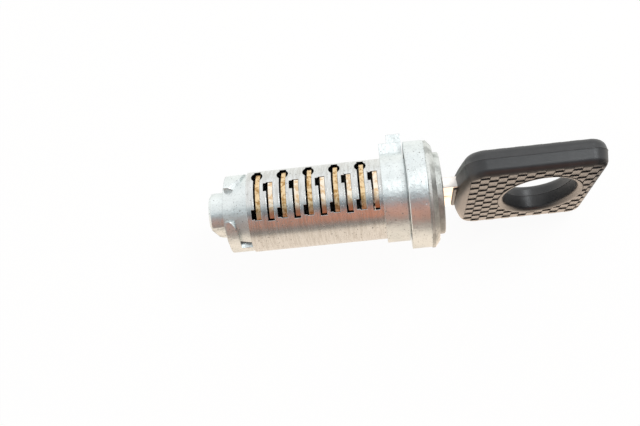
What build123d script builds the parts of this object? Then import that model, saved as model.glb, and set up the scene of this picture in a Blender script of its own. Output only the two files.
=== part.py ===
# Ignition lock cylinder with its key: a zinc plug with ten wafers, a face cap with a dust shutter,
# and a double-edged key with a moulded head.
# X runs along the lock's axis towards the key, and Z is the way the wafers slide.
# The origin is on the axis, at the rear seating face of the flange.

import os
from math import cos, radians, sin, tan

from build123d import *

os.makedirs("parts", exist_ok=True)

# Driving dimensions, millimetres: the plug casting
body_radius = 7.4
collar_radius = 8.15
collar_length = 4.15
groove_width = 0.25
groove_depth = 0.4
flange_radius = 10.0
flange_thickness = 3.6
flange_edge = 0.15
front_margin = 1.15
tail_margin = 2.1
tail_radius = 6.9
tail_end_radius = 6.1
tail_length = 4.5
cam_radius = 7.15
cam_core_radius = 5.3
cam_gap_angle = 26.5
cam_start_z = 6.5
cam_end_z = -4.6
cam_rear_inset = 0.35
near_cam_flank = [(0.8, 0), (1.95, 0.7), (2.4, 2.2), (2.45, 6.5), (2.1, 11.1)]
far_cam_flank = [(0.9, 0), (2.53, 1.03), (3.3, 1.65), (3.8, 4.5), (3.8, 11.1)]
bridge_start_z = 1.5
bridge_end_z = -3.0
bridge_length = 2.1
tail_slot_width = 1.1
tail_slot_depth = 1.3
flange_relief = 0.3
flange_relief_angle = 54
boss_radius = 4.2
boss_length = 3.05
boss_chamfer = 0.4
boss_flat = 4.0
boss_flat_angle = 155
boss_ramp_height = 2.7

# How far a cutting shape runs past what it cuts
overcut = 1.0

# The lug on the collar, which is seated in the housing
lug_half_width = 2.1
lug_reach = 9.9
lug_step_half_width = 1.5
lug_step_reach = 11.7
lug_step_inset = 1.5
lug_root = 2.0

# Wafers, their slots and the pockets of their springs
wafer_count = 10
wafer_pitch = 2.35
wafer_thickness = 0.8
wafer_side_cover = 4.05
wafer_recess = 0.05
slot_width = 1.2
slot_side_clearance = 0.05
slot_end_clearance = 0.1
slot_far_clearance = 0.35
relief_width = 0.55
relief_length = 1.65
relief_inset = 0.05
pocket_radius = 1.08
pocket_sides = 14
pocket_cover = 2.4
pocket_floor = 3.2
pocket_crown = 0.25
ear_cover = 1.8
ear_height = 2.6
ear_recess = 0.3
wafer_travel = 0.6
travel_clearance = 0.15
spring_wire = 0.24
seat_gap = 0.03
spring_radius = 0.78
spring_turns = 5
coil_steps = 6

# The key: blade, shoulder and the tang inside the head
blade_thickness = 1.9
blade_cover = 3.4
keyway_clearance = 0.1
blade_groove_width = 2.0
blade_groove_depth = 0.35
cut_depths = [1.8, 1.8, 1.8, 1.3, 1.3, 0.8, 0.8, 0.8, 0.25, 0.25]
cut_flat = 0.5
cut_clearance = 0.04
window_play = 0.6
window_side_clearance = 0.25
tip_margin = 1.25
tip_room = 0.3
tip_taper = 0.55
tip_length = 0.65
shoulder_step = 2.2
shoulder_gap = 0.05
tang_length = 6.6
tang_hole_radius = 1.5

# The key's moulded head
head_gap = 1.85
head_length = 25.6
head_half_width = 16.0
head_thickness = 5.0
head_side_bulge = 2.2
head_corner = 3.0
head_edge = 0.7
head_neck_bevel = 2.2
head_neck_drop = 0.85
hole_half_length = 6.45
hole_half_width = 10.4
hole_end_wall = 3.5
hole_edge = 0.5

# The face cap and the dust shutter behind it
cap_inset = 0.15
cap_slope = 1.1
cap_length = 1.4
cap_rim = 0.5
nose_step = 1.25
nose_length = 1.15
nose_chamfer = 0.2
counterbore_radius = 7.2
counterbore_depth = 3.3
spigot_clearance = 0.05
spigot_length = 3.0
spigot_bore = 6.2
cap_wall = 2.2
keyway_lead = 0.5
shutter_thickness = 0.35
shutter_half_length = 4.4
shutter_width = 2.7
shutter_knuckle_radius = 0.75
shutter_knuckle_length = 1.6
shutter_side_gap = 0.15
pin_radius = 0.4
pin_clearance = 0.03
pin_half_length = 6.6
torsion_wire = 0.24
torsion_radius = 0.62
torsion_leg_angle = 30
torsion_turns = 3 + torsion_leg_angle / 360

# Places along the axis that follow from these
collar_front = -groove_width
collar_rear = collar_front - collar_length
wafer_x = [collar_rear - front_margin - wafer_pitch * (wafer_count - 1 - i) for i in range(wafer_count)]
body_rear = wafer_x[0] - tail_margin
tail_rear = body_rear - tail_length
cam_rear = tail_rear + cam_rear_inset
keyway_rear = wafer_x[0] - tip_margin - tip_room
counterbore_floor = flange_thickness - counterbore_depth
cap_radius = flange_radius - cap_inset
cap_nose_radius = cap_radius - cap_slope
nose_radius = cap_nose_radius - nose_step
cap_front = flange_thickness + cap_length
nose_front = cap_front + nose_length
cavity_front = nose_front - cap_wall
head_rear = nose_front + head_gap
head_front = head_rear + head_length
hole_centre = head_front - hole_end_wall - hole_half_length
slot_shift = wafer_thickness / 2 + slot_side_clearance - slot_width / 2
wafer_half_width = body_radius - wafer_side_cover
relief_end = wafer_half_width - relief_inset
relief_start = relief_end - relief_length
pocket_reach = body_radius - pocket_cover
ear_reach = body_radius - ear_cover
blade_half_width = body_radius - blade_cover
cut_levels = [blade_half_width - depth for depth in cut_depths]
tip_half_width = tip_taper * cut_levels[0]
shoulder_half_width = blade_half_width + shoulder_step
window_height = 2 * blade_half_width + window_play
keyway_half_thickness = blade_thickness / 2 + keyway_clearance
keyway_half_height = blade_half_width + keyway_clearance


def coil_points(centre, radius, start, rise, turns, start_angle=0):
    """Points along a coil about Z, from start to start plus rise, for a path of short straight runs."""
    steps = round(turns * coil_steps)
    points = []
    for step in range(steps + 1):
        angle = radians(start_angle + 360 * turns * step / steps)
        x = centre[0] + radius * cos(angle)
        y = centre[1] + radius * sin(angle)
        points.append((x, y, start + rise * step / steps))
    return points


def wafer_side(index):
    """Wafers 1, 3, 5 ... have the ear towards +Y; the others are turned half a turn about the axis."""
    return 1 if index % 2 == 0 else -1


# Cams of the tail: two raised lobes with curved flanks, and a bridge to the body
with BuildPart() as cams:
    for cam_way, flank in [(1, near_cam_flank), (-1, far_cam_flank)]:
        start, bend, crest, *rest = [(tail_rear + reach, cam_start_z - drop) for reach, drop in flank]
        with BuildSketch(Plane.XZ):
            with BuildLine():
                ThreePointArc(start, bend, crest)
                Polyline(crest, *rest, (cam_rear, cam_end_z), (cam_rear, cam_start_z), start)
            make_face()
        extrude(amount=cam_way * cam_radius)
    with BuildSketch(Plane.XZ):
        with Locations((body_rear - bridge_length / 2, (bridge_start_z + bridge_end_z) / 2)):
            Rectangle(bridge_length, bridge_start_z - bridge_end_z)
    extrude(amount=cam_radius)
    with BuildSketch(Plane.YZ.offset(tail_rear)):
        Circle(cam_radius)
        Circle(cam_core_radius, mode=Mode.SUBTRACT)
    extrude(amount=tail_length, mode=Mode.INTERSECT)

    # The lobes start on both sides of the top with a square face each
    gap_y = 2 * cam_radius * sin(radians(cam_gap_angle))
    gap_z = 2 * cam_radius * cos(radians(cam_gap_angle))
    with BuildSketch(Plane.YZ.offset(tail_rear)):
        with BuildLine():
            Polyline((0, 0), (gap_y, gap_z), (-gap_y, gap_z), close=True)
        make_face()
    extrude(amount=tail_length, mode=Mode.SUBTRACT)

# Plug: one zinc casting with the flange, the collar, the slotted body and the tail
with BuildPart() as plug:
    with BuildSketch(Plane.XZ):
        with BuildLine():
            Polyline(
                (tail_rear, 0),
                (tail_rear, tail_end_radius),
                (body_rear, tail_radius),
                (body_rear, body_radius),
                (collar_rear, body_radius),
                (collar_rear, collar_radius),
                (collar_front, collar_radius),
                (collar_front, body_radius - groove_depth),
                (0, body_radius - groove_depth),
                (0, flange_radius - flange_edge),
                (flange_edge, flange_radius),
                (flange_thickness - flange_edge, flange_radius),
                (flange_thickness, flange_radius - flange_edge),
                (flange_thickness, counterbore_radius),
                (counterbore_floor, counterbore_radius),
                (counterbore_floor, 0),
                close=True,
            )
        make_face()
    revolve(axis=Axis.X)

    # A shallow relief over the flange's lower side
    wedge_reach = 2 * flange_radius
    wedge_half = wedge_reach / tan(radians(flange_relief_angle))
    with BuildSketch(Plane.YZ):
        with BuildLine():
            Polyline((0, 0), (-wedge_reach, wedge_half), (-wedge_reach, -wedge_half), close=True)
        make_face()
        Circle(flange_radius - flange_relief, mode=Mode.SUBTRACT)
    extrude(amount=flange_thickness, mode=Mode.SUBTRACT)

    # Cams and the core slot of the tail
    add(cams.part)
    slot_z = bridge_start_z + tail_slot_width / 2
    with BuildSketch(Plane.XZ.offset(tail_radius - tail_slot_depth)):
        with Locations((body_rear - bridge_length / 2, slot_z)):
            Rectangle(bridge_length, tail_slot_width)
    extrude(amount=body_radius, mode=Mode.SUBTRACT)

    # Tail boss: a round drive boss with a flat on one side and a sloping underside
    with BuildSketch(Plane.YZ.offset(tail_rear)):
        Circle(boss_radius)
    extrude(amount=-boss_length)
    boss_end = plug.faces().sort_by(Axis.X)[0]
    chamfer(boss_end.edges(), boss_chamfer)
    with BuildSketch(Plane.YZ.offset(tail_rear)):
        with PolarLocations(boss_flat + boss_radius, 1, start_angle=boss_flat_angle):
            Rectangle(2 * boss_radius, 2 * boss_radius)
    extrude(amount=-boss_length, mode=Mode.SUBTRACT)
    with BuildSketch(Plane.XZ):
        with BuildLine():
            Polyline(
                (tail_rear - boss_length - overcut, boss_ramp_height),
                (tail_rear - boss_length, boss_ramp_height),
                (tail_rear, -boss_ramp_height),
                (tail_rear, -boss_radius - overcut),
                (tail_rear - boss_length - overcut, -boss_radius - overcut),
                close=True,
            )
        make_face()
    extrude(amount=boss_radius + overcut, both=True, mode=Mode.SUBTRACT)

    # Lug on the collar, in two steps
    with BuildSketch(Plane.XZ.offset(-lug_reach)):
        with Locations(((collar_rear + collar_front) / 2, 0)):
            Rectangle(collar_length, 2 * lug_half_width)
    extrude(amount=lug_reach - collar_radius + lug_root)
    with BuildSketch(Plane.XZ.offset(-lug_step_reach)):
        with Locations(((collar_rear + lug_step_inset + collar_front) / 2, 0)):
            Rectangle(collar_length - lug_step_inset, 2 * lug_step_half_width)
    extrude(amount=lug_step_reach - collar_radius + lug_root)

    # Wafer slots, straight through, each with a narrow relief channel at one end
    for index, x in enumerate(wafer_x):
        side = wafer_side(index)
        near_end = wafer_half_width + slot_end_clearance
        far_end = wafer_half_width + slot_far_clearance
        with BuildSketch(Plane.XY.offset(-body_radius - overcut)):
            with Locations((x + slot_shift, side * (far_end - near_end) / 2)):
                Rectangle(slot_width, near_end + far_end)
            with Locations((x + slot_shift - (slot_width + relief_width) / 2, -side * (relief_start + relief_end) / 2)):
                Rectangle(relief_width, relief_end - relief_start)
        extrude(amount=2 * (body_radius + overcut), mode=Mode.SUBTRACT)

        # Spring pocket with the way for the wafer's ear, open on one side of the body only
        with BuildSketch(Plane.XY.offset(-side * pocket_floor)):
            with Locations((x + slot_shift, side * pocket_reach)):
                RegularPolygon(pocket_radius, pocket_sides)
        extrude(amount=side * (pocket_floor + body_radius), mode=Mode.SUBTRACT)
        crown = pocket_reach + pocket_radius + pocket_crown
        ear_floor = ear_height - wafer_travel - travel_clearance
        with BuildSketch(Plane.XY.offset(side * ear_floor)):
            with Locations((x + slot_shift, side * crown / 2)):
                Rectangle(slot_width, crown)
        extrude(amount=side * (body_radius - ear_floor), mode=Mode.SUBTRACT)

    # Keyway, with a rib on each side that fits the groove in the blade
    with BuildSketch(Plane.YZ.offset(keyway_rear)):
        Rectangle(2 * keyway_half_thickness, 2 * keyway_half_height)
        rib_width = blade_groove_width - 2 * keyway_clearance
        with Locations((keyway_half_thickness, 0), (-keyway_half_thickness, 0)):
            Rectangle(2 * blade_groove_depth, rib_width, mode=Mode.SUBTRACT)
    extrude(amount=counterbore_floor - keyway_rear, mode=Mode.SUBTRACT)
plug.part.label = "plug_casting"
export_step(plug.part, "parts/plug_casting.step")

# Face cap: a turned cap with a spigot in the flange, and the lock's key slot
with BuildPart() as cap:
    spigot_radius = counterbore_radius - spigot_clearance
    with BuildSketch(Plane.XZ):
        with BuildLine():
            Polyline(
                (flange_thickness - spigot_length, spigot_bore),
                (flange_thickness - spigot_length, spigot_radius),
                (flange_thickness, spigot_radius),
                (flange_thickness, cap_radius),
                (flange_thickness + cap_rim, cap_radius),
                (cap_front, cap_nose_radius),
                (cap_front, nose_radius),
                (nose_front - nose_chamfer, nose_radius),
                (nose_front, nose_radius - nose_chamfer),
                (nose_front, 0),
                (cavity_front, 0),
                (cavity_front, spigot_bore),
                close=True,
            )
        make_face()
    revolve(axis=Axis.X)
    with BuildSketch(Plane.YZ.offset(cavity_front)):
        Rectangle(2 * keyway_half_thickness, 2 * keyway_half_height)
    extrude(amount=cap_wall, mode=Mode.SUBTRACT)
    slot_mouth = cap.edges().filter_by(lambda edge: abs(edge.center().X - nose_front) < 1e-6)
    slot_mouth = slot_mouth.filter_by(GeomType.LINE)
    chamfer(slot_mouth, keyway_lead / 2)
    hinge_x = cavity_front - shutter_knuckle_radius - shutter_side_gap
    hinge_y = keyway_half_thickness + shutter_side_gap + shutter_knuckle_radius
    with BuildSketch(Plane.XY.offset(-pin_half_length)):
        with Locations((hinge_x, hinge_y)):
            Circle(pin_radius + pin_clearance)
    extrude(amount=2 * pin_half_length, mode=Mode.SUBTRACT)
cap.part.label = "face_cap"
export_step(cap.part, "parts/face_cap.step")

# Dust shutter, folded back beside the blade while the key is in
with BuildPart() as shutter:
    leaf_y = hinge_y - shutter_knuckle_radius + shutter_thickness / 2
    coil_pitch = torsion_wire * 1.25
    coil_height = coil_pitch * torsion_turns
    coil_room = coil_height + 3 * torsion_wire
    with BuildSketch(Plane.XY.offset(-shutter_half_length)):
        with Locations((hinge_x - shutter_width / 2, leaf_y)):
            Rectangle(shutter_width, shutter_thickness)
    extrude(amount=2 * shutter_half_length)
    with BuildSketch(Plane.XY.offset(-coil_room / 2)):
        with Locations((hinge_x, leaf_y)):
            Rectangle(2 * shutter_knuckle_radius + 2 * shutter_side_gap, 2 * shutter_thickness)
    extrude(amount=coil_room, mode=Mode.SUBTRACT)
    for end in (-1, 1):
        with BuildSketch(Plane.XY.offset(end * shutter_half_length)):
            with Locations((hinge_x, hinge_y)):
                Circle(shutter_knuckle_radius)
        extrude(amount=-end * shutter_knuckle_length)
    with BuildSketch(Plane.XY.offset(-shutter_half_length)):
        with Locations((hinge_x, hinge_y)):
            Circle(pin_radius + pin_clearance)
    extrude(amount=2 * shutter_half_length, mode=Mode.SUBTRACT)
shutter.part.label = "dust_shutter"
export_step(shutter.part, "parts/dust_shutter.step")

with BuildPart() as pin:
    with BuildSketch(Plane.XY.offset(-pin_half_length)):
        with Locations((hinge_x, hinge_y)):
            Circle(pin_radius)
    extrude(amount=2 * pin_half_length)
pin.part.label = "shutter_pin"
export_step(pin.part, "parts/shutter_pin.step")

# Shutter spring: a small coil round the pin, one leg on the leaf and one on the cap
with BuildPart() as shutter_spring:
    turns = coil_points((hinge_x, hinge_y), torsion_radius, -coil_height / 2, coil_height, torsion_turns, 90)
    leg_reach = cavity_front - torsion_wire / 2
    leg_drop = turns[-1][1] - leaf_y - (shutter_thickness + torsion_wire) / 2
    leg_run = leg_drop / tan(radians(torsion_leg_angle))
    with BuildLine() as coil:
        Polyline(
            (leg_reach, hinge_y + torsion_radius, turns[0][2]),
            *turns,
            (turns[-1][0] - leg_run, turns[-1][1] - leg_drop, turns[-1][2]),
        )
    with BuildSketch(Plane(origin=coil.wire() @ 0, z_dir=coil.wire() % 0)):
        Rectangle(torsion_wire, torsion_wire)
    sweep(path=coil.wire(), transition=Transition.RIGHT)
shutter_spring.part.label = "shutter_spring"
export_step(shutter_spring.part, "parts/shutter_spring.step")

# Wafers: stamped brass plates with a window for the blade and an ear over the spring
for index, x in enumerate(wafer_x):
    side = wafer_side(index)
    arc_radius = body_radius - wafer_recess
    bearing = cut_levels[index] + cut_clearance
    with BuildPart() as wafer:
        with BuildSketch(Plane.YZ.offset(x - wafer_thickness / 2)):
            Circle(arc_radius)
            Rectangle(2 * wafer_half_width, 2 * arc_radius, mode=Mode.INTERSECT)
            with BuildSketch(mode=Mode.PRIVATE) as ear:
                Circle(arc_radius - ear_recess)
                with Locations((side * ear_reach / 2, side * (ear_height + body_radius / 2))):
                    Rectangle(ear_reach, body_radius, mode=Mode.INTERSECT)
            add(ear.sketch)
            with Locations((0, side * (window_height / 2 - bearing))):
                Rectangle(blade_thickness + 2 * window_side_clearance, window_height, mode=Mode.SUBTRACT)
        extrude(amount=wafer_thickness)
    name = f"wafer_{index + 1:02d}"
    wafer.part.label = name
    export_step(wafer.part, f"parts/{name}.step")

# Wafer springs: a coil under each ear, from the pocket's floor
for index, x in enumerate(wafer_x):
    side = wafer_side(index)
    coil_floor = side * (spring_wire / 2 + seat_gap - pocket_floor)
    coil_rise = side * (ear_height + pocket_floor - spring_wire - 2 * seat_gap)
    with BuildPart() as spring:
        with BuildLine() as coil:
            seat = (x + slot_shift, side * pocket_reach)
            Polyline(*coil_points(seat, spring_radius, coil_floor, coil_rise, spring_turns))
        with BuildSketch(Plane(origin=coil.wire() @ 0, z_dir=coil.wire() % 0)):
            Rectangle(spring_wire, spring_wire)
        sweep(path=coil.wire(), transition=Transition.RIGHT)
    name = f"wafer_spring_{index + 1:02d}"
    spring.part.label = name
    export_step(spring.part, f"parts/{name}.step")

# Key blade: cut alike on both edges, with the deepest cuts at the tip
with BuildPart() as blade:
    tip = wafer_x[0] - tip_margin
    shoulder_x = nose_front + shoulder_gap
    edge = [(tip, tip_half_width), (tip + tip_length, cut_levels[0])]
    for x, level in zip(wafer_x, cut_levels):
        edge += [(x - cut_flat, level), (x + cut_flat, level)]
    edge += [(collar_rear + cut_flat, blade_half_width), (shoulder_x, blade_half_width)]
    edge += [(shoulder_x, shoulder_half_width), (head_rear + tang_length, shoulder_half_width)]
    with BuildSketch(Plane.XZ):
        with BuildLine():
            Polyline(edge + [(x, -z) for x, z in reversed(edge)], close=True)
        make_face()
        with Locations((head_rear + tang_length / 2, 0)):
            Circle(tang_hole_radius, mode=Mode.SUBTRACT)
    extrude(amount=blade_thickness / 2, both=True)
    for face_side in (-1, 1):
        with BuildSketch(Plane.XZ.offset(face_side * blade_thickness / 2)):
            with Locations(((tip + shoulder_x) / 2, 0)):
                Rectangle(shoulder_x - tip, blade_groove_width)
        extrude(amount=-face_side * blade_groove_depth, mode=Mode.SUBTRACT)
blade.part.label = "key_blade"
export_step(blade.part, "parts/key_blade.step")

# Key head: moulded round the tang, with an oval ring hole
with BuildPart() as head:
    with BuildSketch(Plane.XZ.offset(-head_thickness / 2)):
        with BuildLine():
            ThreePointArc(
                (head_rear + head_side_bulge, -head_half_width),
                (head_rear, 0),
                (head_rear + head_side_bulge, head_half_width),
            )
            Polyline(
                (head_rear + head_side_bulge, head_half_width),
                (head_front, head_half_width),
                (head_front, -head_half_width),
                (head_rear + head_side_bulge, -head_half_width),
            )
        make_face()
        fillet(vertices(), head_corner)
        with Locations((hole_centre, 0)):
            Ellipse(hole_half_length, hole_half_width, mode=Mode.SUBTRACT)
    extrude(amount=head_thickness)
    broad_faces = head.faces().filter_by(Plane.XZ)
    chamfer([edge for face in broad_faces for wire in face.inner_wires() for edge in wire.edges()], hole_edge)
    broad_faces = head.faces().filter_by(Plane.XZ)
    chamfer([edge for face in broad_faces for edge in face.outer_wire().edges()], head_edge)
    for face_side in (-1, 1):
        face_y = face_side * head_thickness / 2
        with BuildSketch(Plane.XY.offset(-head_half_width - overcut)):
            with BuildLine():
                Polyline(
                    (head_rear + head_neck_bevel, face_y),
                    (head_rear, face_y - face_side * head_neck_drop),
                    (head_rear - overcut, face_y - face_side * head_neck_drop),
                    (head_rear - overcut, face_y + face_side * overcut),
                    (head_rear + head_neck_bevel, face_y + face_side * overcut),
                    close=True,
                )
            make_face()
        extrude(amount=2 * (head_half_width + overcut), mode=Mode.SUBTRACT)
    tang = split(blade.part, Plane.YZ.offset(head_rear - overcut), keep=Keep.TOP, mode=Mode.PRIVATE)
    add(tang, mode=Mode.SUBTRACT)
head.part.label = "key_head"
export_step(head.part, "parts/key_head.step")
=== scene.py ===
# Ignition lock cylinder with its key, dressed for the camera: a die-cast zinc plug with ten brass
# wafers on coil springs, a blasted face cap, and a flat key with a moulded black head.
# X runs along the lock towards the key head and Z is the way the wafers slide, in metres.

from math import cos, pi, radians, sin

import bpy
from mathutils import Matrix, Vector


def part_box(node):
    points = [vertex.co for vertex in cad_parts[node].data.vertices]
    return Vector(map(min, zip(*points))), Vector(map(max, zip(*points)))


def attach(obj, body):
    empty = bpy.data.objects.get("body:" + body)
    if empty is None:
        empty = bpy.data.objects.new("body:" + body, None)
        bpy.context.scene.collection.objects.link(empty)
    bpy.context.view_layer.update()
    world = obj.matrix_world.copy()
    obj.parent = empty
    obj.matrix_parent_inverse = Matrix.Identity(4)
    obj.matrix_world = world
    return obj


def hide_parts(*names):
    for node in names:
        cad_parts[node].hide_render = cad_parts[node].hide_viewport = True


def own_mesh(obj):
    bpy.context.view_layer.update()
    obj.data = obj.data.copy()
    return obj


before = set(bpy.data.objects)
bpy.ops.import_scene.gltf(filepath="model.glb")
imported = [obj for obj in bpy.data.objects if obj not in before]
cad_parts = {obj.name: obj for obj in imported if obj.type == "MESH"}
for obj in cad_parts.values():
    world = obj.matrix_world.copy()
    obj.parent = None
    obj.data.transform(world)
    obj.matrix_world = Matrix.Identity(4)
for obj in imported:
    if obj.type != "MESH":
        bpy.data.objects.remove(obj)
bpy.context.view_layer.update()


# The table top: a wide sheet of matt white board, which the lock lies on. The eye sees it
# white with a soft shadow. Gloss shows it with painted light: warm on the near side, a painted
# shade past the key's head and a painted bright strip beside it, which glows brighter than
# white and which the head's near face needs to show its bricks.
class Signal:
    """A number, colour or vector among a finish's nodes; sums written with it become nodes."""

    def __init__(self, tree, socket=None):
        self.tree = tree
        self.socket = socket

    def node(self, kind, settings=None, inputs=None, output=0):
        """Adds a node, gives it its settings and then its inputs, and returns one of its outputs."""
        made = self.tree.nodes.new(kind)
        for name, value in (settings or {}).items():
            if name == "stops":
                ramp = made.color_ramp
                ramp.elements.remove(ramp.elements[1])
                ramp.elements[0].position = value[0][0]
                ramp.elements[0].color = value[0][1]
                for position, colour in value[1:]:
                    ramp.elements.new(position).color = colour
            else:
                setattr(made, name, value)
        for name, value in (inputs or {}).items():
            if isinstance(value, Signal):
                self.tree.links.new(value.socket, made.inputs[name])
            else:
                made.inputs[name].default_value = value
        return Signal(self.tree, made.outputs[output]) if made.outputs else None

    def reckon(self, operation, first, second=0.0):
        return self.node("ShaderNodeMath", {"operation": operation}, {0: first, 1: second})

    def __add__(self, other):
        return self.reckon("ADD", self, other)

    def __sub__(self, other):
        return self.reckon("SUBTRACT", self, other)

    def __rsub__(self, other):
        return self.reckon("SUBTRACT", other, self)

    def __mul__(self, other):
        return self.reckon("MULTIPLY", self, other)

    def __gt__(self, other):
        return self.reckon("GREATER_THAN", self, other)

    def __lt__(self, other):
        return self.reckon("LESS_THAN", self, other)

    __radd__ = __add__
    __rmul__ = __mul__

    def ramp(self, low, high):
        """0 below low and 1 above high, with a soft rise between them."""
        settings = {"interpolation_type": "SMOOTHSTEP"}
        inputs = {"Value": self, "From Min": low, "From Max": high}
        return self.node("ShaderNodeMapRange", settings, inputs)

    def between(self, start, full, fade, end):
        """1 from full to fade and 0 outside start and end, with a soft rise and fall."""
        return self.ramp(start, full) * (1 - self.ramp(fade, end))

    def mix(self, first, second):
        """The first colour where this is 0 and the second where it is 1."""
        return self.node("ShaderNodeMix", {"data_type": "RGBA"}, {0: self, 6: first, 7: second}, 2)

    def here(self):
        return self.node("ShaderNodeTexCoord", {}, {}, "Object")

    def coordinate(self, place, axis):
        return self.node("ShaderNodeSeparateXYZ", {}, {0: place}, axis)

    def stretched(self, place, amounts):
        """The place with each of its axes drawn out or squeezed."""
        return self.node("ShaderNodeVectorMath", {"operation": "MULTIPLY"}, {0: place, 1: amounts})

    def off_axis(self, place):
        """How far a place lies from the lock's own axis."""
        spoke = self.stretched(place, (0, 1, 1))
        return self.node("ShaderNodeVectorMath", {"operation": "LENGTH"}, {0: spoke}, "Value")

    def noise(self, place, scale, detail, roughness=0.55):
        """Mottling with about scale grains to the metre."""
        inputs = {"Vector": place, "Scale": scale, "Detail": detail, "Roughness": roughness}
        return self.node("ShaderNodeTexNoise", {}, inputs)

    def rounded(self, radius):
        """The surface's normal with its sharp edges eased over this radius."""
        return self.node("ShaderNodeBevel", {"samples": 6}, {"Radius": radius})

    def edges(self, eased):
        """How far an eased normal leans from the surface's own: 0 on a flat, near 1 along an edge."""
        true_normal = self.node("ShaderNodeNewGeometry", {}, {}, "True Normal")
        pair = {0: eased, 1: true_normal}
        agreement = self.node("ShaderNodeVectorMath", {"operation": "DOT_PRODUCT"}, pair, "Value")
        least_lean = 0.01
        full_lean = 0.16
        return (1 - agreement).ramp(least_lean, full_lean)

    def relief(self, height, depth, normal):
        """The normal of a surface that this height, from 0 to 1, raises by up to depth."""
        inputs = {"Height": height, "Distance": depth, "Strength": 1.0, "Normal": normal}
        return self.node("ShaderNodeBump", {}, inputs)

    def surface(self, inputs):
        shader = self.node("ShaderNodeBsdfPrincipled", {}, inputs)
        self.node("ShaderNodeOutputMaterial", {}, {"Surface": shader})


def new_finish(name):
    material = bpy.data.materials.new(name)
    material.use_nodes = True
    material.node_tree.nodes.clear()
    return material, Signal(material.node_tree)


def seen_by_eye_and_gloss(paint):
    """1 for the camera and for what metal or glass reflects, 0 for the light that falls on things."""
    eye = paint.node("ShaderNodeLightPath", {}, {}, "Is Camera Ray")
    gloss = paint.node("ShaderNodeLightPath", {}, {}, "Is Glossy Ray")
    glass = paint.node("ShaderNodeLightPath", {}, {}, "Is Transmission Ray")
    return paint.reckon("MINIMUM", eye + gloss + glass, 1.0)


table_gap = 0.00005
table_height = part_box("key_head")[0].z - table_gap
table_width = 3.0
plain_white = (1, 1, 1, 1)
board_white = (0.90, 0.885, 0.86, 1)
board_glow = 1.06
shadow_share = 0.12
near_side_in_gloss = (1.10, 0.92, 0.76, 1)
far_side_in_gloss = (1.09, 1.09, 1.06, 1)
middle_band = (-0.02, 0.02)
# Painted shade: a dark patch in the board's gloss past the key's head
painted_shade_in_gloss = (0.13, 0.125, 0.115, 1)
painted_shade_share = 0.85
painted_shade_length = (0.036, 0.055, 0.16, 0.24)
painted_shade_edge = (-0.009, -0.003)
# Painted light: a strip in the board's gloss that glows brighter than white
painted_light_in_gloss = (2.6, 2.1, 1.68, 1)
painted_light_length = (0.003, 0.008, 0.034, 0.04)
painted_light_width = (-0.016, -0.011, -0.002, 0.0)
bpy.ops.object.select_all(action="DESELECT")
bpy.ops.mesh.primitive_plane_add(size=table_width, location=(0, 0, table_height))
table_top = bpy.context.object
table_top.name = "table_top"
bpy.ops.object.transform_apply()
matt_board, paint = new_finish("matt_board")
place = paint.here()
along = paint.coordinate(place, "X")
across = paint.coordinate(place, "Y")
gloss_colour = across.ramp(*middle_band).mix(near_side_in_gloss, far_side_in_gloss)
painted_shade = along.between(*painted_shade_length) * (1 - across.ramp(*painted_shade_edge))
gloss_colour = (painted_shade * painted_shade_share).mix(gloss_colour, painted_shade_in_gloss)
painted_light = along.between(*painted_light_length) * across.between(*painted_light_width)
gloss_colour = painted_light.mix(gloss_colour, painted_light_in_gloss)
eye = paint.node("ShaderNodeLightPath", {}, {}, "Is Camera Ray")
glow_colour = eye.mix(gloss_colour, plain_white)
glow = paint.node("ShaderNodeEmission", {}, {"Color": glow_colour, "Strength": board_glow})
board = paint.node("ShaderNodeBsdfDiffuse", {}, {"Color": board_white})
share = seen_by_eye_and_gloss(paint) * (1 - shadow_share)
mixed = paint.node("ShaderNodeMixShader", {}, {0: share, 1: board, 2: glow})
paint.node("ShaderNodeOutputMaterial", {}, {"Surface": mixed})
table_top.data.materials.append(matt_board)

# The studio: white all round, dimmer as light than to the eye, with two soft boxes.
# One stands low on the far side of the metal, and one hangs over the key's head.
room_white = 1.0
room_light = 0.42
room = bpy.data.worlds.new("white_room")
room.use_nodes = True
room.node_tree.nodes.clear()
paint = Signal(room.node_tree)
dimness = seen_by_eye_and_gloss(paint) * (room_white - room_light) + room_light
background = paint.node("ShaderNodeBackground", {}, {"Color": plain_white, "Strength": dimness})
paint.node("ShaderNodeOutputWorld", {}, {"Surface": background})
bpy.context.scene.world = room
bpy.context.scene.view_settings.view_transform = "Standard"


def hang_soft_box(name, place, aim, size, watts, colour):
    """A square soft box that faces the point it is aimed at."""
    light = bpy.data.lights.new(name, "AREA")
    light.shape = "SQUARE"
    light.size = size
    light.energy = watts
    light.color = colour
    lamp = bpy.data.objects.new(name, light)
    lamp.location = place
    lamp.rotation_euler = (Vector(aim) - Vector(place)).to_track_quat("-Z", "Y").to_euler()
    bpy.context.scene.collection.objects.link(lamp)


far_place = (-0.05, 0.60, 0.26)
hang_soft_box("far_box", far_place, aim=(0, 0, 0), size=0.40, watts=0.10, colour=(0.97, 0.99, 1.0))
head_place = (0.30, 0.14, 0.58)
hang_soft_box("head_box", head_place, aim=(0.02, 0, 0), size=0.26, watts=1.2, colour=(0.94, 0.98, 1.0))

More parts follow.
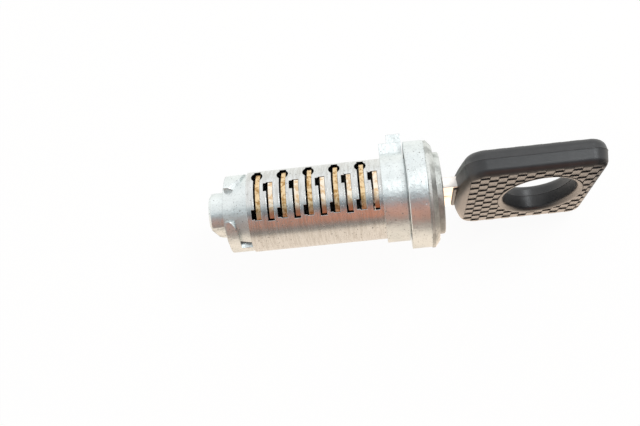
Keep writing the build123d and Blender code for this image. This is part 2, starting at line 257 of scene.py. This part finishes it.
# The dark card: a bent sheet of painted cloth over the near side, out of the picture.
# Polished metal needs it to show its form. It is brown in the middle and grey at both ends,
# reddest towards the flange and palest towards the tail.
card_radius = 0.62
card_length = 1.6
card_start = 2
card_end = -96
card_bends = 23
card_tones = [
    (0.01, (0.82, 0.88, 0.90, 1)),
    (0.06, (0.52, 0.60, 0.64, 1)),
    (0.12, (0.34, 0.40, 0.44, 1)),
    (0.20, (0.14, 0.16, 0.18, 1)),
    (0.27, (0.14, 0.15, 0.17, 1)),
    (0.36, (0.42, 0.30, 0.28, 1)),
    (0.52, (0.50, 0.28, 0.21, 1)),
    (0.66, (0.42, 0.25, 0.19, 1)),
    (0.76, (0.30, 0.26, 0.24, 1)),
    (0.90, (0.34, 0.31, 0.28, 1)),
    (1.0, (0.66, 0.58, 0.47, 1)),
]
card_red = (1.0, 0.36, 0.20, 1)
red_share = 0.85
red_length = (-0.11, 0.0, 0.07, 0.12)
red_turns = (30, 38, 60, 72)
tail_end = (-0.19, -0.12)
card_grey = (0.36, 0.345, 0.335, 1)
grey_share = 0.7
grey_turns = (18, 30, 70, 80)
card_pale = (0.85, 0.89, 0.89, 1)
pale_share = 0.35
pale_turns = (2, 8, 26, 38)
bpy.ops.object.select_all(action="DESELECT")
bpy.ops.mesh.primitive_plane_add(size=1)
dark_card = bpy.context.object
dark_card.name = "dark_card"
bpy.ops.object.mode_set(mode="EDIT")
bpy.ops.mesh.subdivide(number_cuts=card_bends)
bpy.ops.object.mode_set(mode="OBJECT")
for point in dark_card.data.vertices:
    turn = radians(card_start + (card_end - card_start) * (point.co.y + 0.5))
    point.co = (card_length * point.co.x, card_radius * sin(turn), card_radius * cos(turn))


def hang_card(card, cloth, paint, tone):
    """Gives a card its cloth, which glows in this tone, and keeps it out of the camera's sight."""
    glow = paint.node("ShaderNodeEmission", {}, {"Color": tone, "Strength": 1.0})
    paint.node("ShaderNodeOutputMaterial", {}, {"Surface": glow})
    card.data.materials.append(cloth)
    card.visible_camera = False


card_cloth, paint = new_finish("card_cloth")
place = paint.here()
along = paint.coordinate(place, "X")
across = paint.coordinate(place, "Y")
height = paint.coordinate(place, "Z")
turn = paint.reckon("ARCTAN2", 0 - across, height) * (180 / pi)
tone = paint.node("ShaderNodeValToRGB", {"stops": card_tones}, {"Fac": turn * (-1 / card_end)})
redder = along.between(*red_length) * turn.between(*red_turns)
tone = (redder * red_share).mix(tone, card_red)
by_tail = 1 - along.ramp(*tail_end)
tone = (by_tail * turn.between(*grey_turns) * grey_share).mix(tone, card_grey)
tone = (by_tail * turn.between(*pale_turns) * pale_share).mix(tone, card_pale)
hang_card(dark_card, card_cloth, paint, tone)

# The end card: a flat sheet of grey cloth, standing past the key and out of the picture.
# It darkens the near side of the face cap.
end_tone = (0.09, 0.09, 0.085, 1)
end_width = 0.42
end_height = 0.26
end_place = (0.30, -0.235, 0.115)
bpy.ops.object.select_all(action="DESELECT")
bpy.ops.mesh.primitive_plane_add(size=1, location=end_place, rotation=(0, pi / 2, 0))
end_card = bpy.context.object
end_card.name = "end_card"
end_card.scale = (end_height, end_width, 1)
bpy.ops.object.transform_apply()
end_cloth, paint = new_finish("end_cloth")
hang_card(end_card, end_cloth, paint, end_tone)

# The camera: it hangs over the lock, a little to the near side and towards the tail,
# and looks down through a normal lens. Its angles are in degrees.
camera_place = (-0.00390, -0.04420, 0.15794)
camera_angles = (14.6788, 5.7178, -4.6034)
lens_length = 50
film_width = 36
nearest_seen = 0.005
camera_data = bpy.data.cameras.new("camera")
camera_data.lens = lens_length
camera_data.sensor_width = film_width
camera_data.clip_start = nearest_seen
camera = bpy.data.objects.new("camera", camera_data)
camera.location = camera_place
camera.rotation_euler = [radians(angle) for angle in camera_angles]
bpy.context.scene.collection.objects.link(camera)
bpy.context.scene.camera = camera

# The plug: one zinc pressure casting with the flange, the lug and the slotted body.
# It is turned on its body, which shows fine rings there, and left as cast elsewhere,
# with a wavy skin and small dark pits. Its colour inside the wafer slots is a painted shade, nearly black.
weld_distance = 0.000002
facet_lean = radians(7.5)
least_slope = 0.1


def skin_of(node, name, body, material):
    """A welded copy of a solid, which stands for it in the picture. Its faces that were
    turned about the lock's axis are shaded round, and all others flat."""
    bpy.ops.object.select_all(action="DESELECT")
    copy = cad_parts[node].copy()
    copy.data = copy.data.copy()
    copy.name = name
    copy.parent = None
    for key in list(copy.keys()):
        del copy[key]
    bpy.context.scene.collection.objects.link(copy)
    copy.select_set(True)
    bpy.context.view_layer.objects.active = copy
    bpy.ops.object.mode_set(mode="EDIT")
    bpy.ops.mesh.select_all(action="SELECT")
    bpy.ops.mesh.remove_doubles(threshold=weld_distance)
    bpy.ops.object.mode_set(mode="OBJECT")
    bpy.ops.object.shade_smooth()
    shell = copy.data
    shading = [None] * len(shell.loops)
    for face in shell.polygons:
        spoke = Vector((0, face.center.y, face.center.z)).normalized()
        slope = Vector((0, face.normal.y, face.normal.z))
        way = slope.dot(spoke)
        turned = slope.length > least_slope and abs(way) > slope.length * cos(facet_lean)
        for loop in face.loop_indices:
            corner = shell.vertices[shell.loops[loop].vertex_index].co
            shading[loop] = face.normal.copy()
            if turned:
                round_to = Vector((0, corner.y, corner.z)).normalized() * way
                shading[loop] = Vector((face.normal.x, round_to.y, round_to.z)).normalized()
    shell.normals_split_custom_set(shading)
    shell.materials.clear()
    shell.materials.append(material)
    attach(copy, body)
    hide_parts(node)


zinc_light = (0.84, 0.885, 0.88, 1)
zinc_dull = (0.74, 0.79, 0.79, 1)
zinc_turned = (0.71, 0.72, 0.71, 1)
zinc_scored = (0.50, 0.49, 0.46, 1)
zinc_pit = (0.16, 0.15, 0.145, 1)
cast_edge = (0.22, 0.24, 0.25, 1)
turned_edge = (0.86, 0.87, 0.87, 1)
painted_slot_shade = (0.02, 0.019, 0.018, 1)
body_rear = -0.0288
body_front = -0.0044
slots_rear = -0.0286
slots_front = -0.0047
slots_outside = 0.00731
zinc_relief = 0.000026
eased_edge = 0.00012
blotch_share = 0.35
turned_share = 0.85
scored_share = 0.5
worn_share = 0.6
speck_share = 0.22
pit_share = 0.6
slot_shade_share = 0.93
zinc, paint = new_finish("zinc")
place = paint.here()
clouds = paint.noise(place, scale=260, detail=3)
grain = paint.noise(place, scale=5200, detail=3)
blotches = paint.noise(place, scale=900, detail=2)
turning = paint.noise(paint.stretched(place, (7000, 90, 90)), scale=1.0, detail=2)
scoring = paint.noise(paint.stretched(place, (2400, 260, 260)), scale=1.0, detail=3, roughness=0.7)
waves = paint.noise(place, scale=1100, detail=3)
pits = paint.noise(place, scale=2700, detail=2, roughness=0.4).ramp(0.66, 0.74)
specks = paint.noise(place, scale=3600, detail=3, roughness=0.5).ramp(0.56, 0.66)
along = paint.coordinate(place, "X")
turned_here = (along > body_rear) * (along < body_front)
in_slots = (paint.off_axis(place) < slots_outside) * (along > slots_rear) * (along < slots_front)
eased = paint.rounded(eased_edge)
worn = paint.edges(eased)
colour = clouds.ramp(0.35, 0.65).mix(zinc_dull, zinc_light)
colour = (blotches.ramp(0.55, 0.75) * blotch_share).mix(colour, zinc_dull)
colour = (turned_here * turned_share).mix(colour, zinc_turned)
colour = (scoring.ramp(0.42, 0.62) * turned_here * scored_share).mix(colour, zinc_scored)
colour = (worn * worn_share).mix(colour, turned_here.mix(cast_edge, turned_edge))
colour = (specks * (1 - turned_here) * speck_share + pits * pit_share).mix(colour, zinc_pit)
# Painted shade: the wafer slots are darkened nearly to black
colour = (in_slots * slot_shade_share).mix(colour, painted_slot_shade)
cast_height = (grain * 0.3 + waves * 2.6) * (1 - turned_here)
turned_height = (turning * 0.5 + scoring * 1.4 + grain * 0.2) * turned_here
normal = paint.relief(cast_height + turned_height - pits * 0.6, zinc_relief, eased)
roughness = 0.30 + blotches * 0.12 + pits * 0.2 - turned_here * 0.1 - worn * 0.08 + in_slots * 0.3
paint.surface({"Base Color": colour, "Metallic": 1.0, "Roughness": roughness, "Normal": normal})
skin_of("plug_casting", "plug", "plug", zinc)

# The face cap: a turned aluminium cap, blasted to a fine grey-green grain, with a painted
# shade on its near side. It is pressed on the flange.
cap_light = (0.82, 0.84, 0.81, 1)
cap_dark = (0.38, 0.395, 0.37, 1)
cap_painted_shade = (0.30, 0.31, 0.30, 1)
cap_edge = (0.66, 0.67, 0.65, 1)
near_shade_width = (0.0018, 0.0048, 0.0068, 0.0092)
near_shade_share = 0.55
cap_worn_share = 0.5
cap_relief = 0.00004
blasted, paint = new_finish("blasted_cap")
place = paint.here()
grain = paint.noise(place, scale=4200, detail=3, roughness=0.6)
clouds = paint.noise(place, scale=420, detail=3)
eased = paint.rounded(eased_edge)
worn = paint.edges(eased)
colour = (clouds.ramp(0.4, 0.65) * 0.65 + grain.ramp(0.5, 0.66) * 0.35).mix(cap_light, cap_dark)
# Painted shade: the cap is darkened on its near side
near_side = 0 - paint.coordinate(place, "Y")
colour = (near_side.between(*near_shade_width) * near_shade_share).mix(colour, cap_painted_shade)
colour = (worn * cap_worn_share).mix(colour, cap_edge)
roughness = 0.48 + grain * 0.16
normal = paint.relief(grain, cap_relief, eased)
paint.surface({"Base Color": colour, "Metallic": 0.8, "Roughness": roughness, "Normal": normal})
skin_of("face_cap", "cap", "plug", blasted)

# The dust shutter, its pin and its leg spring: a stamped plate and drawn wire of bright
# spring steel. The pin hangs the plate behind the key slot, closed in by the cap.
steel_bright = (0.52, 0.52, 0.53, 1)
steel_stained = (0.30, 0.29, 0.28, 1)
steel_edge = 0.00005
steel_relief = 0.000008
steel, paint = new_finish("spring_steel")
place = paint.here()
drawn = paint.noise(paint.stretched(place, (900, 900, 6000)), scale=1.0, detail=3)
stain = paint.noise(place, scale=700, detail=3)
colour = stain.ramp(0.4, 0.75).mix(steel_bright, steel_stained)
roughness = 0.25 + drawn * 0.2
normal = paint.relief(drawn, steel_relief, paint.rounded(steel_edge))
paint.surface({"Base Color": colour, "Metallic": 1.0, "Roughness": roughness, "Normal": normal})
skin_of("dust_shutter", "shutter", "plug", steel)
skin_of("shutter_pin", "shutter_hinge_pin", "plug", steel)
skin_of("shutter_spring", "shutter_leg_spring", "plug", steel)

# The wafers: plates stamped from brass strip, one to each slot, sliding in it. The blanking
# tool leaves eased upper edges and a bright, finely scored rim. Every second one comes from
# paler strip. A painted coppery reflection lies on the near side of each, strongest on the
# pale ones, and a painted shade darkens each below the casting's surface.
golden_bright = (0.86, 0.66, 0.40, 1)
golden_dull = (0.46, 0.27, 0.10, 1)
golden_spot = (0.20, 0.11, 0.05, 1)
pale_bright = (0.96, 0.85, 0.70, 1)
pale_dull = (0.74, 0.53, 0.32, 1)
pale_spot = (0.42, 0.20, 0.12, 1)
copper_reflection = (0.56, 0.22, 0.09, 1)
copper_reflection_edge = (-0.0022, -0.0008)
painted_root_shade = (0.045, 0.032, 0.02, 1)
root_shade_edge = (0.0066, 0.0068)
strip_edge = 0.00008
strip_relief = 0.00001
strip_spot_share = 0.6
strip_worn_share = 0.5


def brass_strip(name, bright, dull, spot, copper_reflection_share):
    material, paint = new_finish(name)
    place = paint.here()
    rolled = paint.noise(paint.stretched(place, (1500, 7000, 1200)), scale=1.0, detail=3)
    stain = paint.noise(place, scale=1200, detail=3, roughness=0.65)
    spots = paint.noise(place, scale=3000, detail=2, roughness=0.4).ramp(0.66, 0.74)
    eased = paint.rounded(strip_edge)
    worn = paint.edges(eased)
    colour = stain.ramp(0.44, 0.62).mix(bright, dull)
    colour = (spots * strip_spot_share).mix(colour, spot)
    colour = (worn * strip_worn_share).mix(colour, bright)
    # Painted reflection: a coppery tone on the near side of the wafer
    across = paint.coordinate(place, "Y") + stain * 0.001
    colour = ((1 - across.ramp(*copper_reflection_edge)) * copper_reflection_share).mix(colour, copper_reflection)
    # Painted shade: the wafer is darkened where it lies below the casting's surface
    colour = (1 - paint.off_axis(place).ramp(*root_shade_edge)).mix(colour, painted_root_shade)
    roughness = 0.26 + rolled * 0.16
    normal = paint.relief(rolled * 0.6 + spots * 0.4, strip_relief, eased)
    paint.surface({"Base Color": colour, "Metallic": 1.0, "Roughness": roughness, "Normal": normal})
    return material


golden = brass_strip("golden_brass", golden_bright, golden_dull, golden_spot, copper_reflection_share=0.15)
pale = brass_strip("pale_brass", pale_bright, pale_dull, pale_spot, copper_reflection_share=0.8)
wafers = 10
for number in range(1, wafers + 1):
    strip = golden if number % 2 else pale
    skin_of(f"wafer_{number:02d}", f"wafer_plate_{number:02d}", f"wafer_{number:02d}", strip)

# The wafer springs: round steel wire wound in five turns, standing in the casting's
# pockets. The pocket's floor carries one end and the wafer's ear presses on the other.
wire = 0.00024
coil_radius = 0.00078
coil_turns = 5
steps_per_turn = 20
wire_sides = 8
for number in range(1, wafers + 1):
    low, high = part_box(f"wafer_spring_{number:02d}")
    centre = (low + high) / 2
    rise = (high.z - low.z - wire) / coil_turns
    bpy.ops.object.select_all(action="DESELECT")
    bpy.ops.mesh.primitive_circle_add(vertices=wire_sides, radius=wire / 2, rotation=(pi / 2, 0, 0))
    coil = bpy.context.object
    coil.name = f"wafer_coil_{number:02d}"
    bpy.ops.object.transform_apply()
    bpy.ops.object.mode_set(mode="EDIT")
    bpy.ops.mesh.select_all(action="SELECT")
    bpy.ops.transform.translate(value=(coil_radius, 0, 0))
    bpy.ops.object.mode_set(mode="OBJECT")
    winding = coil.modifiers.new("winding", "SCREW")
    winding.axis = "Z"
    winding.angle = 2 * pi
    winding.screw_offset = rise
    winding.iterations = coil_turns
    winding.steps = steps_per_turn
    winding.render_steps = steps_per_turn
    winding.use_smooth_shade = True
    bpy.ops.object.modifier_apply(modifier="winding")
    bpy.ops.object.mode_set(mode="EDIT")
    bpy.ops.mesh.select_mode(type="EDGE")
    bpy.ops.mesh.select_all(action="DESELECT")
    bpy.ops.mesh.select_non_manifold(extend=False)
    bpy.ops.mesh.edge_face_add()
    bpy.ops.mesh.select_all(action="SELECT")
    bpy.ops.mesh.normals_make_consistent(inside=False)
    bpy.ops.transform.translate(value=(centre.x, centre.y, low.z + wire / 2))
    bpy.ops.object.mode_set(mode="OBJECT")
    coil.data.materials.append(steel)
    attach(coil, "plug")
    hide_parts(f"wafer_spring_{number:02d}")
    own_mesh(coil)

# The key's blade: a flat of nickel-plated brass, milled with a groove on each side and cut
# with steps on both edges. The plating is scratched and finely spotted, and a painted
# highlight lies along the narrow edges.
plating_light = (1.0, 0.86, 0.77, 1)
plating_warm = (0.93, 0.77, 0.65, 1)
plating_spot = (0.30, 0.17, 0.10, 1)
painted_edge_highlight = (1.0, 0.97, 0.93, 1)
brass_through = (0.88, 0.78, 0.62, 1)
edge_highlight_start = 0.0059
edge_highlight_share = 0.8
blade_edge = 0.00015
blade_relief = 0.00001
blade_spot_share = 0.6
blade_worn_share = 0.5
plated, paint = new_finish("plated_blade")
place = paint.here()
scored = paint.noise(paint.stretched(place, (250, 4000, 6500)), scale=1.0, detail=3)
spots = paint.noise(place, scale=4200, detail=2, roughness=0.4).ramp(0.68, 0.74)
clouds = paint.noise(place, scale=500, detail=3)
eased = paint.rounded(blade_edge)
worn = paint.edges(eased)
colour = clouds.ramp(0.3, 0.7).mix(plating_light, plating_warm)
colour = (spots * blade_spot_share).mix(colour, plating_spot)
# Painted highlight: the blade is lightened nearly to white along its narrow edges
rim = paint.reckon("ABSOLUTE", paint.coordinate(place, "Z")) > edge_highlight_start
colour = (rim * edge_highlight_share).mix(colour, painted_edge_highlight)
colour = (worn * blade_worn_share).mix(colour, brass_through)
roughness = 0.3 + scored * 0.14
normal = paint.relief(scored * 0.6 - spots * 0.4, blade_relief, eased)
paint.surface({"Base Color": colour, "Metallic": 1.0, "Roughness": roughness, "Normal": normal})
skin_of("key_blade", "blade", "key", plated)

# The key's head: glass-filled nylon moulded round the blade in two mould halves, with a
# parting line on the rim, an oval hole, and a brick pattern sunk into both faces.
low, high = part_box("key_head")
parting = 0.00045
parting_flash = 0.00006
tongue_rear = low.x
tongue_stand = 0.00025
head_rear = tongue_rear + tongue_stand
head_front = high.x - parting_flash
head_middle = (head_rear + head_front) / 2
head_half_width = high.z - parting_flash
face_height = high.y
draft = 0.0003
flat_limit = radians(0.4)
neck_corner = 0.0030
far_corner = 0.0030
soft_edge = 0.0013
tolerance = 0.00001


def select_corners(thing, test):
    """In edit mode: selects the corners whose place passes the test."""
    bpy.ops.object.mode_set(mode="OBJECT")
    for face in thing.data.polygons:
        face.select = False
    for edge in thing.data.edges:
        edge.select = False
    for point in thing.data.vertices:
        point.select = bool(test(point.co))
    bpy.ops.object.mode_set(mode="EDIT")
    bpy.ops.mesh.select_mode(type="VERT")


def select_edges(thing, test):
    """In edit mode: selects the edges whose two ends pass the test together."""
    bpy.ops.object.mode_set(mode="EDIT")
    bpy.ops.mesh.select_mode(type="EDGE")
    bpy.ops.mesh.select_all(action="DESELECT")
    bpy.ops.object.mode_set(mode="OBJECT")
    places = [point.co for point in thing.data.vertices]
    for edge in thing.data.edges:
        edge.select = bool(test(places[edge.vertices[0]], places[edge.vertices[1]]))
    bpy.ops.object.mode_set(mode="EDIT")


def select_faces(thing, test):
    """In edit mode: selects the faces whose centre passes the test."""
    bpy.ops.object.mode_set(mode="EDIT")
    bpy.ops.mesh.select_mode(type="FACE")
    bpy.ops.mesh.select_all(action="DESELECT")
    bpy.ops.object.mode_set(mode="OBJECT")
    for face in thing.data.polygons:
        face.select = bool(test(face.center))
    bpy.ops.object.mode_set(mode="EDIT")


def cut_through(point, direction):
    """Cuts the faces of the piece in hand along a plane."""
    bpy.ops.object.mode_set(mode="EDIT")
    bpy.ops.mesh.select_all(action="SELECT")
    bpy.ops.mesh.bisect(plane_co=point, plane_no=direction)


def add_block(name, low, high):
    """A box between two of its corners."""
    bpy.ops.object.select_all(action="DESELECT")
    bpy.ops.mesh.primitive_cube_add(size=1, location=(Vector(low) + Vector(high)) / 2)
    block = bpy.context.object
    block.name = name
    block.scale = Vector(high) - Vector(low)
    bpy.ops.object.transform_apply()
    return block


def combine(thing, tool, operation):
    """Joins the piece with a tool shape, cuts it, or keeps what lies in it; the tool goes."""
    bpy.ops.object.select_all(action="DESELECT")
    bpy.context.view_layer.objects.active = thing
    thing.select_set(True)
    cut = thing.modifiers.new("cut", "BOOLEAN")
    cut.operation = operation
    cut.object = tool
    cut.solver = "MANIFOLD"
    bpy.ops.object.modifier_apply(modifier="cut")
    bpy.data.objects.remove(tool)


low = (head_rear, -face_height, -head_half_width)
head = add_block("head", low, (head_front, face_height, head_half_width))

# Neck side: its edge bows out in the middle, so it is set back more the farther out it runs
set_back = {0.0040: 0.0001, 0.0075: 0.0005, 0.0100: 0.0009, 0.0125: 0.00135}
corner_set_back = 0.0020
for reach in set_back:
    cut_through((0, 0, reach), (0, 0, 1))
    cut_through((0, 0, -reach), (0, 0, 1))
cut_through((0, parting, 0), (0, 1, 0))
set_back[head_half_width] = corner_set_back


def on_neck_side(corner, reach):
    """Whether a corner lies on the neck side, this far out from the middle."""
    return corner.x < head_rear + tolerance and abs(abs(corner.z) - reach) < tolerance


for reach, back in set_back.items():
    select_corners(head, lambda corner: on_neck_side(corner, reach))
    bpy.ops.transform.translate(value=(back, 0, 0))


def at_corner(first, second, by_neck):
    """Whether an edge stands upright at one of the head's corners, by the neck or at the far end."""
    upright = abs(first.y - second.y) > tolerance and abs(first.z - second.z) < tolerance
    outside = abs(abs(first.z) - head_half_width) < tolerance
    return upright and outside and (first.x < head_middle) == by_neck


select_edges(head, lambda first, second: at_corner(first, second, True))
bpy.ops.mesh.bevel(offset=neck_corner, segments=8, affect="EDGES")
select_edges(head, lambda first, second: at_corner(first, second, False))
bpy.ops.mesh.bevel(offset=far_corner, segments=7, affect="EDGES")

# Draft: both mould halves taper away from the parting line, and their outer edges are soft
select_corners(head, lambda corner: abs(corner.y) > face_height - tolerance)
narrower = (1 - 2 * draft / (head_front - head_rear), 1, 1 - draft / head_half_width)
bpy.ops.transform.resize(value=narrower, center_override=(head_middle, 0, 0))
bpy.ops.mesh.select_all(action="SELECT")
bpy.ops.mesh.dissolve_limited(angle_limit=flat_limit)
select_edges(head, lambda first, second: min(abs(first.y), abs(second.y)) > face_height - tolerance)
bpy.ops.mesh.bevel(offset=soft_edge, segments=7, affect="EDGES")
bpy.ops.object.mode_set(mode="OBJECT")

# A short tongue of the moulding stands round the blade
tongue_length = 0.0040
tongue_half_thickness = 0.00125
tongue_half_width = 0.0054
tongue_edge = 0.00025
tongue_front = tongue_rear + tongue_length
low = (tongue_rear, -tongue_half_thickness, -tongue_half_width)
tongue = add_block("tongue", low, (tongue_front, tongue_half_thickness, tongue_half_width))
ease = tongue.modifiers.new("ease", "BEVEL")
ease.width = tongue_edge
ease.segments = 3
bpy.ops.object.modifier_apply(modifier="ease")
combine(head, tongue, "UNION")

# The oval hole, which flares to a rounded rim on both faces
hole_centre = 0.02365
hole_half_length = 0.00645
hole_half_width = 0.0104
hole_rim = 0.0009
hole_sides = 88
rim_steps = 5


def add_oval(name, half_length, half_width, half_depth):
    """A plug in the shape of the hole, at the hole's place."""
    bpy.ops.object.select_all(action="DESELECT")
    bpy.ops.mesh.primitive_cylinder_add(vertices=hole_sides, radius=1, depth=2, rotation=(pi / 2, 0, 0))
    oval = bpy.context.object
    oval.name = name
    bpy.ops.object.transform_apply()
    oval.scale = (half_length, half_depth, half_width)
    oval.location = (hole_centre, 0, 0)
    bpy.ops.object.transform_apply()
    return oval


rim_level = face_height - hole_rim
core = add_oval("core_pin", hole_half_length, hole_half_width, rim_level)
for side in (-1, 1):
    level = rim_level
    grown = 0.0
    for step in range(1, rim_steps + 2):
        select_faces(core, lambda centre: abs(centre.y - side * level) < tolerance)
        turn = radians(90 * min(step, rim_steps) / rim_steps)
        next_level = rim_level + hole_rim * sin(turn)
        next_grown = hole_rim * (1 - cos(turn))
        if step > rim_steps:
            next_level = face_height + hole_rim
        step_out = (0, side * (next_level - level), 0)
        bpy.ops.mesh.extrude_region_move(TRANSFORM_OT_translate={"value": step_out})
        wider = (hole_half_length + next_grown) / (hole_half_length + grown)
        taller = (hole_half_width + next_grown) / (hole_half_width + grown)
        middle = (hole_centre, side * next_level, 0)
        bpy.ops.transform.resize(value=(wider, 1, taller), center_override=middle)
        level = next_level
        grown = next_grown
bpy.ops.mesh.select_all(action="SELECT")
bpy.ops.mesh.normals_make_consistent(inside=False)
bpy.ops.object.mode_set(mode="OBJECT")
combine(head, core, "DIFFERENCE")

# Brick pattern: each face is sunk by a groove's depth inside a panel, and bricks fill the
# panel up again. They lean like shingles, so that one end of each stands proud of the next.
groove_depth = 0.00028
brick_drop = 0.00001
brick_root = 0.0004
brick_pitch_x = 0.001525
brick_pitch_z = 0.00341
groove_x = 0.00007
groove_z = 0.00018
brick_fall = 0.00020
brick_columns = 15
brick_rows = 10
first_column = 0.01133
first_brick = 0.00012
panel_rear = 0.01054
panel_front = 0.0334
panel_half_width = 0.0152
panel_half_depth = 2 * face_height
panel_corner = 0.0024
hole_margin = 0.0010
outline_groove = 0.00007
tool_half_depth = 3 * face_height
well_clear = 1.0


def add_panel(inset):
    """The panel's outline as a solid: rounded corners, with the hole and its rim left out."""
    low = (panel_rear + inset, -panel_half_depth, -panel_half_width + inset)
    panel = add_block("panel", low, (panel_front - inset, panel_half_depth, panel_half_width - inset))
    select_edges(panel, lambda first, second: abs(first.y - second.y) > tolerance)
    bpy.ops.mesh.bevel(offset=panel_corner, segments=6, affect="EDGES")
    bpy.ops.object.mode_set(mode="OBJECT")
    margin = hole_margin + inset
    bare_ring = add_oval("bare_ring", hole_half_length + margin, hole_half_width + margin, tool_half_depth)
    combine(panel, bare_ring, "DIFFERENCE")
    return panel


def lay_bricks(side, blank):
    """The bricks of one face; side is -1 for the near face and 1 for the far one."""
    columns = []
    for column in range(brick_columns):
        bpy.ops.object.select_all(action="DESELECT")
        bpy.ops.mesh.primitive_cube_add(size=1)
        brick = bpy.context.object
        height = groove_depth + brick_root - brick_drop
        brick.scale = (brick_pitch_x - groove_x, height, brick_pitch_z - groove_z)
        across = first_column + column * brick_pitch_x
        start = first_brick - brick_pitch_z * (brick_rows - column % 2) / 2
        brick.location = (across, side * (face_height - brick_drop - height / 2), start)
        bpy.ops.object.transform_apply()
        level = face_height - height / 2
        select_corners(brick, lambda corner: side * corner.y > level and side * (corner.z - start) > 0)
        bpy.ops.transform.translate(value=(0, -side * brick_fall, 0))
        bpy.ops.object.mode_set(mode="OBJECT")
        row = brick.modifiers.new("row", "ARRAY")
        row.count = brick_rows
        row.use_relative_offset = False
        row.use_constant_offset = True
        row.constant_offset_displace = (0, 0, brick_pitch_z)
        bpy.ops.object.modifier_apply(modifier="row")
        columns.append(brick)
    bpy.ops.object.select_all(action="DESELECT")
    for brick in columns:
        brick.select_set(True)
    bricks = columns[0]
    bricks.name = "bricks"
    bpy.context.view_layer.objects.active = bricks
    bpy.ops.object.join()
    combine(bricks, add_panel(outline_groove), "INTERSECT")
    combine(bricks, blank, "INTERSECT")
    return bricks


def copy_of(thing):
    copy = thing.copy()
    copy.data = thing.data.copy()
    bpy.context.scene.collection.objects.link(copy)
    return copy


near_bricks = lay_bricks(-1, copy_of(head))
far_bricks = lay_bricks(1, copy_of(head))
for side in (-1, 1):
    sunk = add_panel(0)
    level = side * (face_height - groove_depth)
    beyond = side * tool_half_depth
    low = (head_rear - well_clear, min(level, beyond), -well_clear)
    half = add_block("half", low, (head_front + well_clear, max(level, beyond), well_clear))
    combine(sunk, half, "INTERSECT")
    combine(head, sunk, "DIFFERENCE")

# Parting line: a hair of flash stands out where the mould halves meet
for level in (parting - 2 * parting_flash, parting, parting + 2 * parting_flash):
    cut_through((0, level, 0), (0, 1, 0))
select_corners(head, lambda corner: abs(corner.y - parting) < tolerance)
bpy.ops.transform.shrink_fatten(value=parting_flash)
bpy.ops.object.mode_set(mode="OBJECT")

# The bricks and the head are one moulding, in one black finish
nylon_black = (0.016, 0.017, 0.019, 1)
nylon_grey = (0.026, 0.027, 0.029, 1)
nylon_edge = (0.05, 0.05, 0.05, 1)
nylon_gloss = 1.7
moulded_edge = 0.0001
nylon_relief = 0.000012
nylon_worn_share = 0.25
smooth_limit = radians(35)
bpy.ops.object.select_all(action="DESELECT")
for part in (near_bricks, far_bricks, head):
    part.select_set(True)
bpy.context.view_layer.objects.active = head
bpy.ops.object.join()
bpy.ops.object.shade_smooth_by_angle(angle=smooth_limit)
evened = head.modifiers.new("evened", "WEIGHTED_NORMAL")
evened.keep_sharp = True
bpy.ops.object.modifier_apply(modifier="evened")
nylon, paint = new_finish("black_nylon")
place = paint.here()
spark = paint.noise(place, scale=5200, detail=3, roughness=0.6)
clouds = paint.noise(place, scale=600, detail=3)
eased = paint.rounded(moulded_edge)
worn = paint.edges(eased)
colour = clouds.ramp(0.3, 0.7).mix(nylon_black, nylon_grey)
colour = (worn * nylon_worn_share).mix(colour, nylon_edge)
roughness = 0.34 + spark * 0.12
normal = paint.relief(spark, nylon_relief, eased)
paint.surface({"Base Color": colour, "Roughness": roughness, "IOR": nylon_gloss, "Normal": normal})
head.data.materials.clear()
head.data.materials.append(nylon)
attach(head, "key")
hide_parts("key_head")
